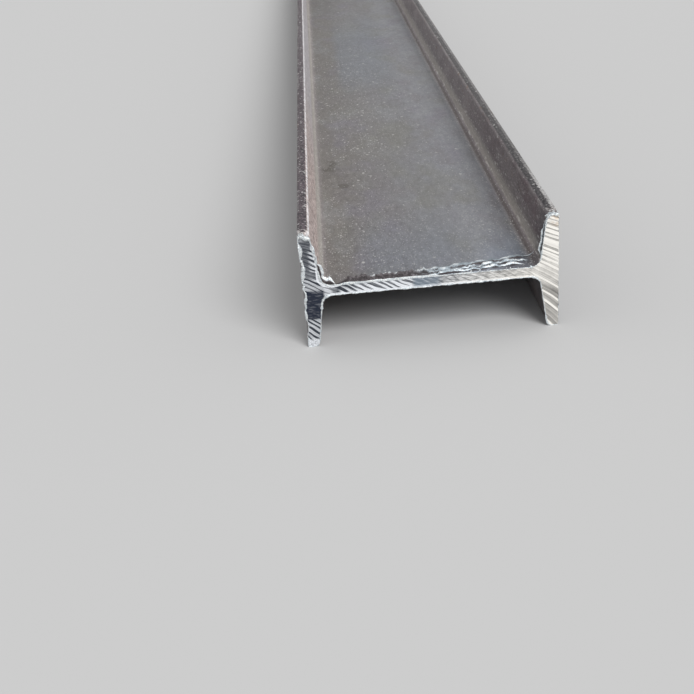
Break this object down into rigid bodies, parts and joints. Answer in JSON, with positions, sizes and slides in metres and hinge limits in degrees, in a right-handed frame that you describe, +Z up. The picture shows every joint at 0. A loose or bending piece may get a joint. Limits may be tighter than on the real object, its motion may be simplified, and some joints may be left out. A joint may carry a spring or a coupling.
{
  "type": "steel i-beam",
  "caption": "Hot-rolled steel I-beam with tapered flanges and rounded roots and toes, sawn square at both ends, lying on its side with the web level.",
  "frame": {"origin": "on the floor under the middle of the bar: mid-length, midway between the flanges, level with the lower toes that it lies on", "axes": "+Y along the bar, +X across the web from one flange to the other, +Z up, square to the web"},
  "size_m": [0.14, 6, 0.066],
  "materials": {
    "rolled_steel": "blue-grey mill scale with light dust on the rolled faces, bright coarse sawn ends with burrs"
  },
  "bodies": {
    "root": {"i_beam": "rolled_steel"}
  },
  "joints": []
}
